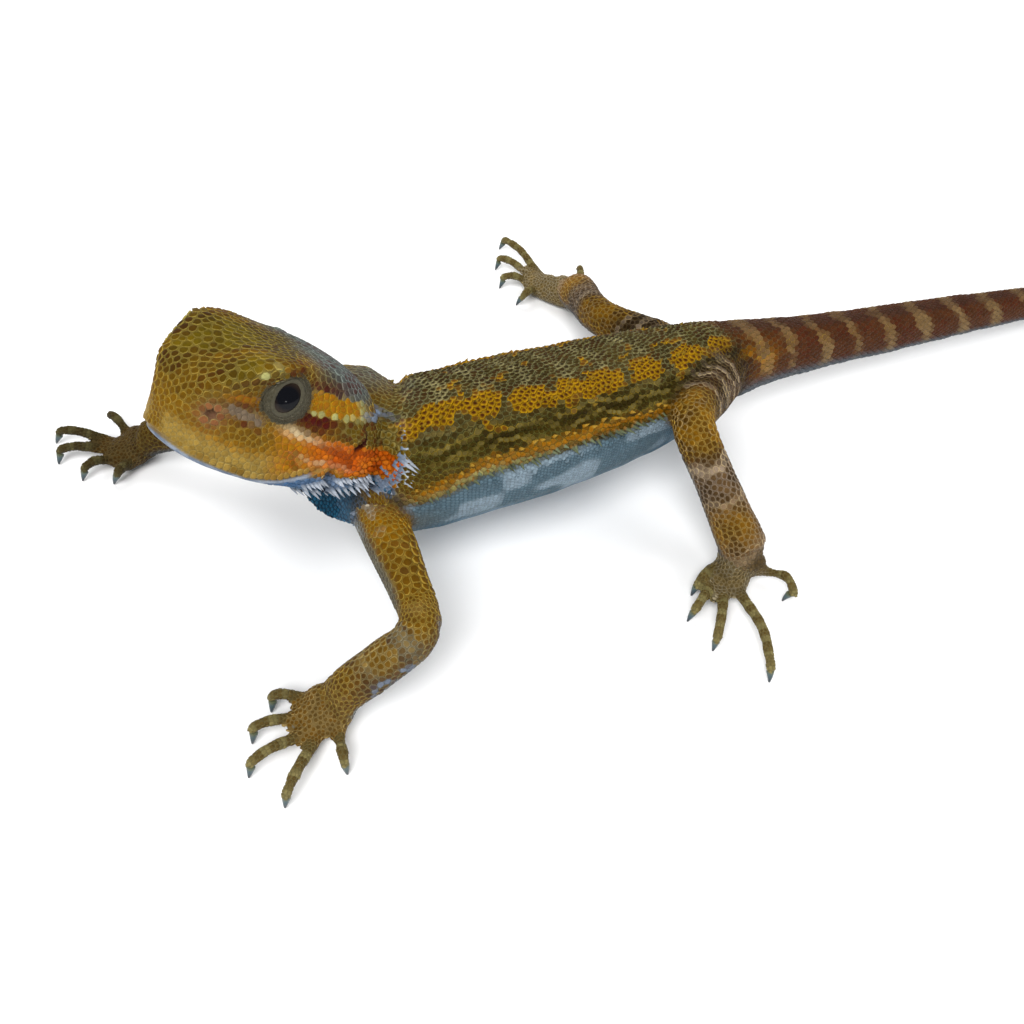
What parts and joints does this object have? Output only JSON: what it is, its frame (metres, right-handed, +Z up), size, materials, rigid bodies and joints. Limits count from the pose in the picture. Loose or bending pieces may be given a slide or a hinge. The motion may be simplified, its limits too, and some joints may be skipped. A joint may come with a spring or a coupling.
{
  "type": "young bearded dragon",
  "caption": "Life-size young bearded dragon standing on four spread feet, head raised and turned slightly left, long tail trailing to the floor; still display model.",
  "frame": {"origin": "middle of the animal's bounding box in plan, at the floor level under its feet", "axes": "+X towards the animal's left, +Y towards its tail, +Z up"},
  "size_m": [0.0866, 0.1986, 0.0324],
  "materials": {
    "hide": "matt granular scales, ochre and olive-brown with orange jowls and blue-grey underside",
    "eye": "wet gloss, near-black",
    "claw": "satin horn, dark slate"
  },
  "bodies": {
    "root": {"claw_foot_left_1": "claw", "claw_foot_left_2": "claw", "claw_foot_left_3": "claw", "claw_foot_left_4": "claw", "claw_foot_left_5": "claw", "claw_foot_right_1": "claw", "claw_foot_right_2": "claw", "claw_foot_right_3": "claw", "claw_foot_right_4": "claw", "claw_foot_right_5": "claw", "claw_hand_left_1": "claw", "claw_hand_left_2": "claw", "claw_hand_left_3": "claw", "claw_hand_left_4": "claw", "claw_hand_left_5": "claw", "claw_hand_right_1": "claw", "claw_hand_right_2": "claw", "claw_hand_right_3": "claw", "claw_hand_right_4": "claw", "claw_hand_right_5": "claw", "eye_left": "eye", "eye_right": "eye", "foot_left": "hide", "foot_right": "hide", "forearm_left": "hide", "forearm_right": "hide", "hand_left": "hide", "hand_right": "hide", "head": "hide", "jaw": "hide", "neck": "hide", "shank_left": "hide", "shank_right": "hide", "tail_1": "hide", "tail_2": "hide", "tail_3": "hide", "tail_4": "hide", "thigh_left": "hide", "thigh_right": "hide", "trunk": "hide", "upper_arm_left": "hide", "upper_arm_right": "hide"}
  },
  "joints": []
}
